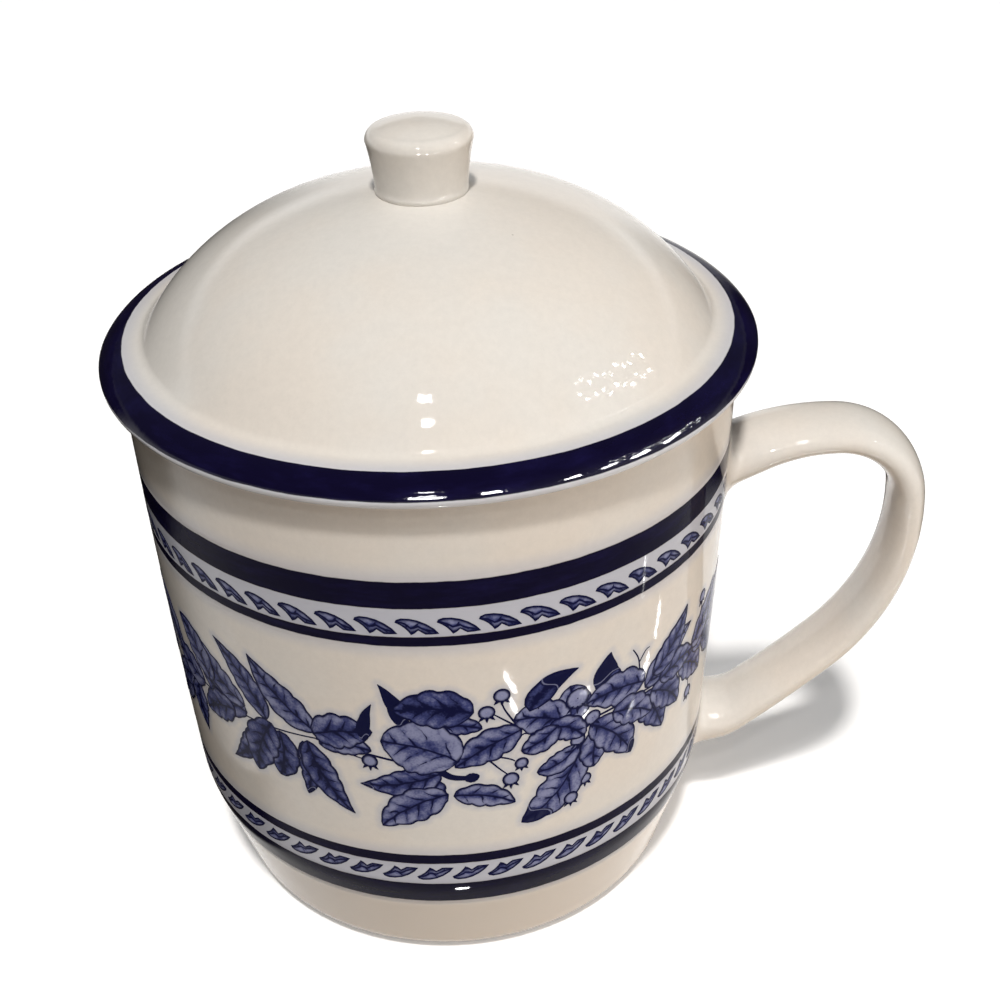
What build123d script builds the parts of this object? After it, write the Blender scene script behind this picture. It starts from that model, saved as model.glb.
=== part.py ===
import os

from build123d import *

os.makedirs("parts", exist_ok=True)

# The mug stands on its foot at z = 0 with its axis on Z, and the handle points along +X.
# All sizes are in millimetres.

# Mug body, outside
foot_radius = 32.2
toe_radius = 35.15
toe_height = 3.4
toe_start = (1, 0.35)
knuckle_radius = 39.4
knuckle_height = 18.2
knuckle_rounding = 14.0
wall_bulge = 0.32
rim_radius = 41.9
rim_height = 83.6
rim_outer_rounding = 1.2
rim_inner_rounding = 0.8

# Mug body, inside and underneath
mouth_radius = 38.9
inner_knuckle_radius = 36.9
inner_knuckle_height = 21.0
floor_height = 6.0
floor_radius = 25.5
floor_corner_sag = 3.4
recess_radius = 28.4
recess_roof_radius = 27.4
recess_depth = 1.8

# Lid
brim_radius = 44.4
brim_edge_height = 85.2
shoulder_radius = 41.2
shoulder_height = 87.15
brim_inner_radius = 39.2
brim_inner_height = 87.38
lip_start = (0.2, -1)
seat_radius = 43.1
dome_top = 105.2
crown_bend = 59.0
crown_turn = 22.0
dome_foot_radius = 38.05
dome_foot_height = 88.1
dome_wall = 3.1
flange_radius = 38.0
flange_inner_radius = 35.2
flange_tip = (flange_radius - flange_inner_radius) / 2
flange_bottom = rim_height - 5.6
vault_foot_height = 86.6

# Knob
knob_base_radius = 5.5
knob_base_height = 103.6
knob_base_bulge = 0.3
knob_waist_radius = 6.1
knob_waist_height = 105.7
knob_top_radius = 7.0
knob_shoulder_height = 111.9
knob_side_hollow = 0.12
knob_edge_rounding = 1.4
knob_edge_bulge = 0.4
knob_face_height = 113.35
knob_top_height = 114.2

# Handle: its centre line is a chain of arcs in the XZ plane, started at its highest point
handle_top = (56.9, 68.7)
handle_neck_bend = 28.0
handle_neck_turn = 26.0
handle_corner_bend = 10.8
handle_corner_turn = 84.0
handle_back_bend = 36.0
handle_back_turn = 50.0
handle_tail_bend = 150.0
handle_tail_turn = 6.2
handle_half_width = 5.8
handle_half_thickness = 2.5
root_half_width = 6.6
upper_root = (39.9, 64.9)
upper_root_half_height = 5.0
lower_root = (37.6, 18.6)
lower_root_half_height = 6.0
lower_root_lean = 0.17

# Strap sections: share of the way along the line, then half width and half thickness as
# multiples of the strap's own
neck_stations = [(1.0, 1.03, 1.35), (0.55, 1.0, 1.05)]
back_stations = [
    (0.0, 1.0, 1.0),
    (0.14, 0.99, 1.0),
    (0.28, 0.98, 0.97),
    (0.48, 0.98, 0.97),
    (0.68, 0.99, 0.98),
    (0.86, 1.0, 1.06),
    (1.0, 1.03, 1.4),
]
across = (0, 1, 0)


with BuildPart() as mug_body:
    with BuildSketch(Plane.XZ) as outer_section:
        with BuildLine() as outer_line:
            Line((0, 0), (foot_radius, 0))
            toe = TangentArc((foot_radius, 0), (toe_radius, toe_height), tangent=toe_start)
            Line(toe @ 1, (knuckle_radius, knuckle_height))
            wall = SagittaArc((knuckle_radius, knuckle_height), (rim_radius, rim_height), -wall_bulge)
            Polyline(wall @ 1, (0, rim_height), (0, 0))
        make_face()
        knuckle = outer_section.vertices().sort_by_distance((knuckle_radius, knuckle_height))[0]
        fillet(knuckle, knuckle_rounding)
    revolve(axis=Axis.Z)
    with BuildSketch(Plane.XZ) as cup_section:
        with BuildLine() as cup_line:
            Line((0, floor_height), (floor_radius, floor_height))
            SagittaArc(
                (floor_radius, floor_height),
                (inner_knuckle_radius, inner_knuckle_height),
                -floor_corner_sag,
            )
            Polyline(
                (inner_knuckle_radius, inner_knuckle_height),
                (mouth_radius, rim_height),
                (0, rim_height),
                (0, floor_height),
            )
        make_face()
    revolve(axis=Axis.Z, mode=Mode.SUBTRACT)
    with BuildSketch(Plane.XZ) as recess_section:
        with BuildLine() as recess_line:
            Polyline(
                (0, 0),
                (recess_radius, 0),
                (recess_roof_radius, recess_depth),
                (0, recess_depth),
                close=True,
            )
        make_face()
    revolve(axis=Axis.Z, mode=Mode.SUBTRACT)
    rim_edges = mug_body.edges().filter_by(GeomType.CIRCLE).group_by(Axis.Z)[-1]
    fillet(rim_edges.sort_by(SortBy.RADIUS)[-1], rim_outer_rounding)
    rim_edges = mug_body.edges().filter_by(GeomType.CIRCLE).group_by(Axis.Z)[-1]
    fillet(rim_edges.sort_by(SortBy.RADIUS)[0], rim_inner_rounding)
mug_body.part.label = "mug_body"
export_step(mug_body.part, "parts/mug_body.step")


with BuildLine(Plane.XZ) as neck_line:
    JernArc(handle_top, (-1, 0), handle_neck_bend, handle_neck_turn)
with BuildLine(Plane.XZ) as back_line:
    corner = JernArc(handle_top, (1, 0), handle_corner_bend, -handle_corner_turn)
    back = JernArc(corner @ 1, corner % 1, handle_back_bend, -handle_back_turn)
    JernArc(back @ 1, back % 1, handle_tail_bend, -handle_tail_turn)

with BuildPart() as handle:
    root_plane = Plane((upper_root[0], 0, upper_root[1]), x_dir=across, z_dir=(1, 0, 0))
    with BuildSketch(root_plane):
        Ellipse(root_half_width, upper_root_half_height)
    for place, wide, thick in neck_stations:
        station = Plane(neck_line.line @ place, x_dir=across, z_dir=-(neck_line.line % place))
        with BuildSketch(station):
            Ellipse(handle_half_width * wide, handle_half_thickness * thick)
    for place, wide, thick in back_stations:
        station = Plane(back_line.line @ place, x_dir=across, z_dir=back_line.line % place)
        with BuildSketch(station):
            Ellipse(handle_half_width * wide, handle_half_thickness * thick)
    tail_plane = Plane((lower_root[0], 0, lower_root[1]), x_dir=across, z_dir=(-1, 0, lower_root_lean))
    with BuildSketch(tail_plane):
        Ellipse(root_half_width, lower_root_half_height)
    loft()
    add(mug_body.part, mode=Mode.SUBTRACT)
handle.part.label = "handle"
export_step(handle.part, "parts/handle.step")


with BuildPart() as lid:
    with BuildSketch(Plane.XZ) as lid_section:
        with BuildLine() as lid_line:
            crown = JernArc((0, dome_top), (1, 0), crown_bend, -crown_turn)
            dome = TangentArc(crown @ 1, (dome_foot_radius, dome_foot_height), tangent=crown % 1)
            TangentArc(dome @ 1, (brim_inner_radius, brim_inner_height), tangent=dome % 1)
            brim = Line((brim_inner_radius, brim_inner_height), (shoulder_radius, shoulder_height))
            TangentArc(brim @ 1, (brim_radius, brim_edge_height), tangent=brim % 1)
            TangentArc((brim_radius, brim_edge_height), (seat_radius, rim_height), tangent=lip_start)
            Polyline(
                (seat_radius, rim_height),
                (flange_radius, rim_height),
                (flange_radius, flange_bottom + flange_tip),
            )
            ThreePointArc(
                (flange_radius, flange_bottom + flange_tip),
                (flange_radius - flange_tip, flange_bottom),
                (flange_inner_radius, flange_bottom + flange_tip),
            )
            ceiling = JernArc((0, dome_top - dome_wall), (1, 0), crown_bend - dome_wall, -crown_turn)
            vault = TangentArc(ceiling @ 1, (flange_inner_radius, vault_foot_height), tangent=ceiling % 1)
            Line(vault @ 1, (flange_inner_radius, flange_bottom + flange_tip))
            Line(ceiling @ 0, crown @ 0)
        make_face()
    revolve(axis=Axis.Z)
lid.part.label = "lid"
export_step(lid.part, "parts/lid.step")


with BuildPart() as knob:
    with BuildSketch(Plane.XZ) as knob_section:
        with BuildLine() as knob_line:
            Polyline((0, knob_base_height), (knob_base_radius, knob_base_height))
            SagittaArc(
                (knob_base_radius, knob_base_height),
                (knob_waist_radius, knob_waist_height),
                -knob_base_bulge,
            )
            SagittaArc(
                (knob_waist_radius, knob_waist_height),
                (knob_top_radius, knob_shoulder_height),
                knob_side_hollow,
            )
            edge = SagittaArc(
                (knob_top_radius, knob_shoulder_height),
                (knob_top_radius - knob_edge_rounding, knob_face_height),
                -knob_edge_bulge,
            )
            TangentArc((0, knob_top_height), edge @ 1, tangent=(1, 0))
            Line((0, knob_top_height), (0, knob_base_height))
        make_face()
    revolve(axis=Axis.Z)
    add(lid.part, mode=Mode.SUBTRACT)
knob.part.label = "knob"
export_step(knob.part, "parts/knob.step")
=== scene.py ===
import math

import bmesh
import bpy
from mathutils import Matrix, Vector
from mathutils.kdtree import KDTree


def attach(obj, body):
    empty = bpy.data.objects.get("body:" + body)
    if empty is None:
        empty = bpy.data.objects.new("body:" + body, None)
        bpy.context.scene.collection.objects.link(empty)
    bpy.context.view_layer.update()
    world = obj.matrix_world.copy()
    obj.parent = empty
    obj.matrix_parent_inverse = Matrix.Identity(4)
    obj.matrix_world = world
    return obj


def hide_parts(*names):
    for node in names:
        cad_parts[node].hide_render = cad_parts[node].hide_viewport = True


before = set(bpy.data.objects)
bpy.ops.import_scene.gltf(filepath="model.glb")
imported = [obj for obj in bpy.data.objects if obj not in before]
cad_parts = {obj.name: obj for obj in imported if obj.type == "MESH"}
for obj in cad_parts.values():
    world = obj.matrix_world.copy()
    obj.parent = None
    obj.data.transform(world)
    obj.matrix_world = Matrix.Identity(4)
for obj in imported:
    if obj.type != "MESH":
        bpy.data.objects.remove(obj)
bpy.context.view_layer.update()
mm = 0.001
scene = bpy.context.scene

# Shape of the porcelain, in millimetres, as the solids have it
mugShape = {
    "footRadius": 32.2,
    "toe": (35.15, 3.4),
    "toeStart": (1, 0.35),
    "knuckle": (39.4, 18.2),
    "knuckleSoftness": 1.9,
    "rim": (41.9, 83.6),
    "wallSag": 0.32,
    "rimOuterRounding": 1.2,
    "rimInnerRounding": 0.8,
    "rimLean": 0.04,         # the wall's upper end lies this far inside the rim's radius
    "mouthRadius": 38.9,
    "innerKnuckle": (36.9, 21.0),
    "floor": (25.5, 6.0),
    "floorSag": 3.4,
    "recess": (28.4, 27.4, 1.8),
    "footEdge": 0.35,        # rounding of the foot ring's inner edges
    "wallRings": 84,
    "segments": 400,
}
lidShape = {
    "top": 105.2,
    "crownBend": 59.0,
    "crownTurn": 22.0,
    "crownSteps": 20,
    "domeFoot": (38.05, 88.1),
    "brimInner": (39.2, 87.38),
    "shoulder": (41.2, 87.15),
    "edge": (44.4, 85.2),
    "lipStart": (0.2, -1),
    "seat": (43.1, 83.6),
    "flange": (38.0, 35.2, 78.0),
    "wall": 3.1,
    "vaultFoot": (35.2, 86.6),
    "segments": 320,
}
knobShape = {
    "base": (5.5, 104.4),
    "waist": (6.1, 105.7),
    "waistSag": 0.3,
    "shoulder": (7.0, 111.9),
    "sideSag": -0.12,
    "faceEdge": (5.6, 113.35),
    "edgeSag": 0.4,
    "top": 114.2,
    "topSag": 0.28,
    "segments": 160,
}
quarterSag = 0.29        # bulge of a quarter circle, as a share of its radius
tiny = 1e-6              # millimetres that count as nothing


def straight(start, end, steps=1):
    return [
        (start[0] + (end[0] - start[0]) * i / steps, start[1] + (end[1] - start[1]) * i / steps)
        for i in range(1, steps + 1)
    ]


def arc(start, end, sag, steps=12):
    # circular arc after start, bulging to the right of the way from start to end
    chord = math.dist(start, end)
    bend = (chord * chord / 4 + sag * sag) / (2 * sag)
    along = ((end[0] - start[0]) / chord, (end[1] - start[1]) / chord)
    right = (along[1], -along[0])
    middle = ((start[0] + end[0]) / 2, (start[1] + end[1]) / 2)
    centre = (middle[0] - right[0] * (bend - sag), middle[1] - right[1] * (bend - sag))
    half = math.asin(max(-1, min(1, chord / 2 / bend)))
    points = []
    for i in range(1, steps + 1):
        turn = -half + 2 * half * i / steps
        points.append((
            centre[0] + bend * (math.cos(turn) * right[0] + math.sin(turn) * along[0]),
            centre[1] + bend * (math.cos(turn) * right[1] + math.sin(turn) * along[1]),
        ))
    return points


def tangentSag(start, end, heading):
    # how far an arc that leaves start along heading bulges from the chord
    chord = math.dist(start, end)
    along = math.atan2(end[1] - start[1], end[0] - start[0])
    turn = math.atan2(heading[1], heading[0]) - along
    turn = (turn + math.pi) % (2 * math.pi) - math.pi
    return -chord / 2 * math.tan(turn / 2)


def bent(first, corner, last, t):
    # point on a curve from first to last that a corner draws towards itself
    return first * (1 - t) ** 2 + corner * 2 * t * (1 - t) + last * t * t


def softCorner(before, corner, after, reach, steps=8):
    # a corner rounded by a curve that starts and ends reach away from it
    middle = Vector(corner)
    first = middle + (Vector(before) - middle).normalized() * reach
    last = middle + (Vector(after) - middle).normalized() * reach
    return [tuple(bent(first, middle, last, i / steps)) for i in range(steps + 1)]


def mugOutside():
    s = mugShape
    recessRim, recessRoof, depth = s["recess"]
    foot = (s["footRadius"], 0)
    line = [(0, depth)]
    line += straight(line[-1], (recessRoof - 1, depth), 6)
    line += softCorner((0, depth), (recessRoof, depth), (recessRim, 0), s["footEdge"], 4)
    line += softCorner((recessRoof, depth), (recessRim, 0), foot, s["footEdge"], 4)
    line += straight(line[-1], foot, 3)
    line += arc(line[-1], s["toe"], tangentSag(line[-1], s["toe"], s["toeStart"]), 12)
    wallStart = s["knuckle"]
    wall = [wallStart] + arc(wallStart, s["rim"], s["wallSag"], s["wallRings"])
    corner = softCorner(s["toe"], wallStart, wall[4], s["knuckleSoftness"])
    line += straight(line[-1], corner[0], 10) + corner[1:]
    # the wall goes on from just above the rounded corner
    start, end = corner[-1][1] + 0.2, s["rim"][1] - s["rimOuterRounding"]
    return line + [p for p in wall if start < p[1] < end]


def mugInside():
    s = mugShape
    rimRadius, rimHeight = s["rim"]
    out, inn = s["rimOuterRounding"], s["rimInnerRounding"]
    wallEnd = (rimRadius - s["rimLean"], rimHeight - out)
    line = arc(wallEnd, (rimRadius - out, rimHeight), out * quarterSag, 8)
    line += straight(line[-1], (s["mouthRadius"] + inn, rimHeight), 2)
    line += arc(line[-1], (s["mouthRadius"], rimHeight - inn), inn * quarterSag, 6)
    line += straight(line[-1], s["innerKnuckle"], 24)
    line += arc(line[-1], s["floor"], s["floorSag"], 16)
    line += straight(line[-1], (0, s["floor"][1]), 8)
    return line


def lidProfile():
    s = lidShape
    bend, turn = s["crownBend"], math.radians(s["crownTurn"])
    turns = [turn * i / s["crownSteps"] for i in range(s["crownSteps"] + 1)]

    def crown(top, radius):
        return [(radius * math.sin(a), top - radius * (1 - math.cos(a))) for a in turns]

    heading = (math.cos(turn), -math.sin(turn))
    outer = crown(s["top"], bend)
    outer += arc(outer[-1], s["domeFoot"], tangentSag(outer[-1], s["domeFoot"], heading), 26)
    downhill = (outer[-1][0] - outer[-2][0], outer[-1][1] - outer[-2][1])
    outer += arc(outer[-1], s["brimInner"], tangentSag(outer[-1], s["brimInner"], downhill), 10)
    outer += straight(outer[-1], s["shoulder"], 5)
    level = (s["shoulder"][0] - s["brimInner"][0], s["shoulder"][1] - s["brimInner"][1])
    outer += arc(outer[-1], s["edge"], tangentSag(outer[-1], s["edge"], level), 14)
    outer += arc(outer[-1], s["seat"], tangentSag(outer[-1], s["seat"], s["lipStart"]), 10)
    flangeOuter, flangeInner, flangeBottom = s["flange"]
    tip = (flangeOuter - flangeInner) / 2
    outer += straight(outer[-1], (flangeOuter, s["seat"][1]), 5)
    outer += straight(outer[-1], (flangeOuter, flangeBottom + tip), 4)
    # the tip is just short of a half circle
    outer += arc(outer[-1], (flangeInner, flangeBottom + tip), tip * 0.999, 12)
    inner = crown(s["top"] - s["wall"], bend - s["wall"])
    inner += arc(inner[-1], s["vaultFoot"], tangentSag(inner[-1], s["vaultFoot"], heading), 20)
    return outer + inner[::-1]


def knobProfile():
    s = knobShape
    line = [(0, s["base"][1]), s["base"]]
    line += arc(line[-1], s["waist"], s["waistSag"], 8)
    line += arc(line[-1], s["shoulder"], s["sideSag"], 12)
    line += arc(line[-1], s["faceEdge"], s["edgeSag"], 12)
    line += arc(line[-1], (0, s["top"]), s["topSag"], 12)
    return line


def newPiece(name, bm):
    mesh = bpy.data.meshes.new(name)
    bm.to_mesh(mesh)
    bm.free()
    piece = bpy.data.objects.new(name, mesh)
    scene.collection.objects.link(piece)
    return piece


def newSurface(name, bm):
    bmesh.ops.recalc_face_normals(bm, faces=bm.faces)
    piece = newPiece(name, bm)
    piece.data.shade_smooth()
    return piece


def joinRings(bm, rings, count):
    # a ring of one point is a point on the axis
    for low, high in zip(rings, rings[1:]):
        for i in range(count):
            j = (i + 1) % count
            corners = [low[i % len(low)], low[j % len(low)], high[j % len(high)], high[i % len(high)]]
            bm.faces.new(list(dict.fromkeys(corners)))


def revolved(name, profile, segments):
    bm = bmesh.new()
    rings = []
    for r, z in profile:
        if r < tiny:
            rings.append([bm.verts.new((0, 0, z * mm))])
            continue
        ring = []
        for i in range(segments):
            a = 2 * math.pi * i / segments
            ring.append(bm.verts.new((r * mm * math.cos(a), r * mm * math.sin(a), z * mm)))
        rings.append(ring)
    joinRings(bm, rings, segments)
    return newSurface(name, bm)


outsideLine = mugOutside()
wallLine = [p for p in outsideLine if p[1] >= mugShape["toe"][1]]


def wallRadius(z):
    # radius of the outside wall at a height, both in millimetres
    for (r0, z0), (r1, z1) in zip(wallLine, wallLine[1:]):
        if z <= z1:
            return r0 + (r1 - r0) * (z - z0) / (z1 - z0)
    return wallLine[-1][0]


handleShape = {
    "top": (56.9, 68.7),
    "neck": (28.0, 26.0),    # bend radius and turn in degrees
    "corner": (10.8, -84.0),
    "back": (36.0, -50.0),
    "tail": (150.0, -6.2),
    "heel": (9.5, -26.0),
    "halfWidth": 5.8,
    "halfThickness": 2.5,
    "neckSwell": (0.16, 0.04, 0.36),     # share of the strap, growth in width and in thickness
    "heelSwell": (0.2, 0.05, 0.5),
    "fillet": 2.6,           # how far the root spreads over the wall
    "rootReach": 16.0,       # longest way from the strap's end to the wall
    "rootSink": 0.04,        # the root's edge lies this deep in the wall
    "rootDepth": 0.9,        # and its end this deep
    "squareness": 2.15,
    "around": 64,
}


def follow(point, heading, bend, turn, steps):
    # points and headings along an arc in the plane of the handle
    x, z = point
    sign = 1 if turn > 0 else -1
    cx, cz = x - sign * bend * math.sin(heading), z + sign * bend * math.cos(heading)
    found = []
    for i in range(steps + 1):
        a = heading + math.radians(turn) * i / steps
        found.append(((cx + sign * bend * math.sin(a), cz - sign * bend * math.cos(a)), a))
    return found


def handlePath():
    # centre points and headings of the strap, from the upper root to the lower one
    s = handleShape
    neck = follow(s["top"], math.pi, *s["neck"], 12)
    path = [(p, a - math.pi) for p, a in reversed(neck)]
    corner = follow(s["top"], 0, *s["corner"], 24)
    back = follow(*corner[-1], *s["back"], 30)
    tail = follow(*back[-1], *s["tail"], 10)
    heel = follow(*tail[-1], *s["heel"], 8)
    return path + corner[1:] + back[1:] + tail[1:] + heel[1:]


def rootRings(ring, outward, inward, steps=8):
    # rings that carry the strap's last ring into the wall with a rounded root
    s = handleShape
    found = [[] for i in range(steps + 2)]
    for point, out in zip(ring, outward):
        low, high = 0.0, s["rootReach"]
        for i in range(40):      # halve the way to the wall until it is found
            middle = (low + high) / 2
            p = point + inward * middle
            low, high = (middle, high) if math.hypot(p.x, p.y) > wallRadius(p.z) else (low, middle)
        corner = point + inward * low
        spread = min(s["fillet"], low * 0.9)
        normal = Vector((corner.x, corner.y, 0)).normalized()
        side = (out - normal * out.dot(normal)).normalized()
        start = corner - inward * spread
        foot = corner + side * spread
        radius = wallRadius(foot.z) - s["rootSink"]
        flat = math.hypot(foot.x, foot.y)
        foot = Vector((foot.x * radius / flat, foot.y * radius / flat, foot.z))
        for i in range(steps + 1):
            found[i].append(bent(start, corner, foot, i / steps))
        found[-1].append(foot - normal * s["rootDepth"])
    return found


def makeHandle():
    s = handleShape
    neckShare, neckWide, neckThick = s["neckSwell"]
    heelShare, heelWide, heelThick = s["heelSwell"]
    path = handlePath()
    count = s["around"]
    rings = []
    sides = []
    for i, ((x, z), heading) in enumerate(path):
        t = i / (len(path) - 1)
        neck = max(0, 1 - t / neckShare) ** 2
        heel = max(0, 1 - (1 - t) / heelShare) ** 2
        wide = s["halfWidth"] * (1 + neckWide * neck + heelWide * heel)
        thick = s["halfThickness"] * (1 + neckThick * neck + heelThick * heel)
        up = Vector((-math.sin(heading), 0, math.cos(heading)))
        ring = []
        side = []
        for k in range(count):
            a = 2 * math.pi * k / count
            c, d = math.cos(a), math.sin(a)
            across = math.copysign(abs(c) ** (2 / s["squareness"]), c)
            over = math.copysign(abs(d) ** (2 / s["squareness"]), d)
            ring.append(Vector((x, 0, z)) + Vector((0, across * wide, 0)) + up * over * thick)
            side.append((Vector((0, c / wide, 0)) + up * d / thick).normalized())
        rings.append(ring)
        sides.append(side)
    first, last = path[0][1], path[-1][1]
    upper = rootRings(rings[0], sides[0], Vector((-math.cos(first), 0, -math.sin(first))))
    lower = rootRings(rings[-1], sides[-1], Vector((math.cos(last), 0, math.sin(last))))
    rings = upper[::-1] + rings[1:-1] + lower
    bm = bmesh.new()
    made = [[bm.verts.new(p * mm) for p in ring] for ring in rings]
    joinRings(bm, made, count)
    bm.faces.new(made[0])
    bm.faces.new(made[-1][::-1])
    return newSurface("handleStrap", bm)


# Node helpers for the finishes
def node(tree, kind, **settings):
    made = tree.nodes.new(kind)
    for key, value in settings.items():
        setattr(made, key, value)
    return made


def feed(tree, socket, value):
    if isinstance(value, bpy.types.NodeSocket):
        tree.links.new(value, socket)
    else:
        socket.default_value = value


def calc(tree, operation, *values, clamp=False):
    made = node(tree, "ShaderNodeMath", operation=operation, use_clamp=clamp)
    for socket, value in zip(made.inputs, values):
        feed(tree, socket, value)
    return made.outputs[0]


def times(tree, first, second, clamp=False):
    return calc(tree, "MULTIPLY", first, second, clamp=clamp)


def plus(tree, first, second, clamp=False):
    return calc(tree, "ADD", first, second, clamp=clamp)


def minus(tree, first, second):
    return calc(tree, "SUBTRACT", first, second)


def larger(tree, first, second):
    return calc(tree, "MAXIMUM", first, second)


def smaller(tree, first, second):
    return calc(tree, "MINIMUM", first, second)


def scaled(tree, value, factor, offset):
    return calc(tree, "MULTIPLY_ADD", value, factor, offset)


def ease(tree, value, low, high, atLow=0.0, atHigh=1.0):
    made = node(tree, "ShaderNodeMapRange", interpolation_type="SMOOTHSTEP")
    for socket, item in zip(made.inputs, (value, low, high, atLow, atHigh)):
        feed(tree, socket, item)
    return made.outputs[0]


def mixed(tree, share, first, second):
    made = node(tree, "ShaderNodeMix", data_type="RGBA")
    for number, item in ((0, share), (6, first), (7, second)):
        feed(tree, made.inputs[number], item)
    return made.outputs[2]


def cloud(tree, place, scale, detail=2.0, rough=0.5):
    made = node(tree, "ShaderNodeTexNoise")
    feed(tree, made.inputs["Vector"], place)
    made.inputs["Scale"].default_value = scale
    made.inputs["Detail"].default_value = detail
    made.inputs["Roughness"].default_value = rough
    return made.outputs[0]


def split(tree, vector):
    made = node(tree, "ShaderNodeSeparateXYZ")
    feed(tree, made.inputs[0], vector)
    return made.outputs


def radiusAndHeight(tree, place):
    x, y, z = split(tree, place)
    square = plus(tree, times(tree, x, x), times(tree, y, y))
    return calc(tree, "POWER", square, 0.5), z


def seenRays(tree):
    # camera rays, and rays that mirrors and glass pass on
    rays = node(tree, "ShaderNodeLightPath").outputs
    return rays["Is Camera Ray"], larger(tree, rays["Is Glossy Ray"], rays["Is Transmission Ray"])


def newGroup(name, inputs, outputs):
    tree = bpy.data.node_groups.new(name, "ShaderNodeTree")
    for label, kind, value in inputs:
        socket = tree.interface.new_socket(label, in_out="INPUT", socket_type="NodeSocket" + kind)
        if value is not None:
            socket.default_value = value
    for label, kind in outputs:
        tree.interface.new_socket(label, in_out="OUTPUT", socket_type="NodeSocket" + kind)
    return tree, node(tree, "NodeGroupInput").outputs, node(tree, "NodeGroupOutput").inputs


def placed(tree, group, **values):
    made = node(tree, "ShaderNodeGroup", node_tree=group)
    for label, value in values.items():
        feed(tree, made.inputs[label], value)
    return made.outputs


glazeLook = {
    "white": (0.755, 0.697, 0.628, 1),
    "cool": (0.735, 0.705, 0.658, 1),
    "speck": (0.20, 0.15, 0.11, 1),
    "biscuit": (0.62, 0.54, 0.44, 1),
    "foot": (0.69, 0.615, 0.53, 1),      # painted shade: darker and warmer below the lowest band, standing in for the table's shade
    "lip": (0.69, 0.71, 0.77, 1),        # the lid's edge below its blue rim
    "bleed": (0.46, 0.485, 0.58, 1),     # white with blue run into it
    # strength of the painted shade on the foot
    "footShadeShare": 0.9,
    "driftSpan": (0.35, 0.65),
    "mottling": (0.16, 0.92),    # strength of the fine mottling, and its darkest level
    "speckScale": 0.16,      # cells for each millimetre, of which some hold a speck
    "speckChance": 0.8,
    "speckSize": (0.012, 0.03),
    "speckDepth": 0.4,
    "roughness": (0.07, 0.02),   # how much it varies, and the least
    "fineShare": 0.45,       # of the fine ripple beside the broad one
    "fringe": 0.5,           # share of the bleed beside a painted circle
    "strip": 0.85,           # under the border leaves
    "halo": 0.62,            # and round the leaves of the garland
    "haloReach": (0.25, 1.5),    # millimetres
    "haloShake": 0.5,
    "shine": 0.34,           # specular level of the white glaze
    "rimShine": 0.22,        # over the lid's blue rim
    "inkShine": 0.03,        # over the other cobalt, which looks nearly black
    "peel": 0.000012,        # height of the ripple in the glaze, metres
    "rimPeel": 3.0,          # how many times stronger it is on the lid's blue rim
}
# the glaze's clouds: scale per millimetre, detail and roughness
glazeClouds = {
    "drift": (0.045, 3),
    "mottle": (0.9, 5, 0.75),
    "dullness": (0.5, 2),
    "fineRipple": (1.1, 1),
    "broadRipple": (0.22, 2),
    "haloEdge": (1.1, 2),
    "wallWobble": (0.35, 3),
    "lidWobble": (0.3, 3),
}
cobaltLook = {
    "deep": (0.0035, 0.0022, 0.018, 1),
    "thin": (0.008, 0.006, 0.044, 1),
    "streak": (0.16, 4, 0.6),    # clouds, as in the glaze
    "grain": (3.0, 2),
    "streakSpan": (0.38, 0.8),
    "grainShare": 0.5,
    "flatten": 5.0,          # the brush runs round the mug, so its streaks are long and low
    "softEdge": 0.07,        # millimetres
    "poolEdge": (-0.45, -0.15),  # colour pools this far inside a circle's edge, millimetres
}


def glazeGroup():
    # porcelain under clear glaze: slow colour drift, fine mottling, rare iron specks, ripples
    tree, given, out = newGroup(
        "kilnGlaze",
        [
            ("Place", "Vector", None),
            ("White", "Color", glazeLook["white"]),
            ("Cool", "Color", glazeLook["cool"]),
        ],
        [("Colour", "Color"), ("Roughness", "Float"), ("Height", "Float")],
    )
    place = given["Place"]
    look = glazeLook
    drift = ease(tree, cloud(tree, place, *glazeClouds["drift"]), *look["driftSpan"])
    colour = mixed(tree, drift, given["White"], given["Cool"])
    mottle = scaled(tree, cloud(tree, place, *glazeClouds["mottle"]), *look["mottling"])
    tint = node(tree, "ShaderNodeVectorMath", operation="SCALE")
    feed(tree, tint.inputs[0], colour)
    feed(tree, tint.inputs["Scale"], mottle)
    cells = node(tree, "ShaderNodeTexVoronoi")
    feed(tree, cells.inputs["Vector"], place)
    cells.inputs["Scale"].default_value = look["speckScale"]
    chosen = split(tree, cells.outputs["Color"])[0]
    chance = calc(tree, "GREATER_THAN", chosen, look["speckChance"])
    dot = ease(tree, cells.outputs["Distance"], *look["speckSize"], look["speckDepth"], 0.0)
    colour = mixed(tree, times(tree, dot, chance), tint.outputs[0], look["speck"])
    feed(tree, out["Colour"], colour)
    dullness = cloud(tree, place, *glazeClouds["dullness"])
    feed(tree, out["Roughness"], scaled(tree, dullness, *look["roughness"]))
    fine = cloud(tree, place, *glazeClouds["fineRipple"])
    broad = cloud(tree, place, *glazeClouds["broadRipple"])
    feed(tree, out["Height"], scaled(tree, fine, look["fineShare"], broad))
    return tree


def bandGroup():
    # a painted circle between two positions in millimetres, with a soft edge and a pale blue bleed
    tree, given, out = newGroup(
        "cobaltBand",
        [
            ("Position", "Float", 0), ("Low", "Float", 0), ("High", "Float", 1),
            ("Reach", "Float", 2.0),
        ],
        [("Ink", "Float"), ("Bleed", "Float"), ("Edge", "Float")],
    )
    below = minus(tree, given["Low"], given["Position"])
    above = minus(tree, given["Position"], given["High"])
    outside = larger(tree, below, above)
    soft = cobaltLook["softEdge"]
    feed(tree, out["Ink"], ease(tree, outside, -soft, soft, 1.0, 0.0))
    feed(tree, out["Bleed"], ease(tree, outside, 0.0, given["Reach"], 1.0, 0.0))
    feed(tree, out["Edge"], ease(tree, outside, *cobaltLook["poolEdge"]))
    return tree


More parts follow.
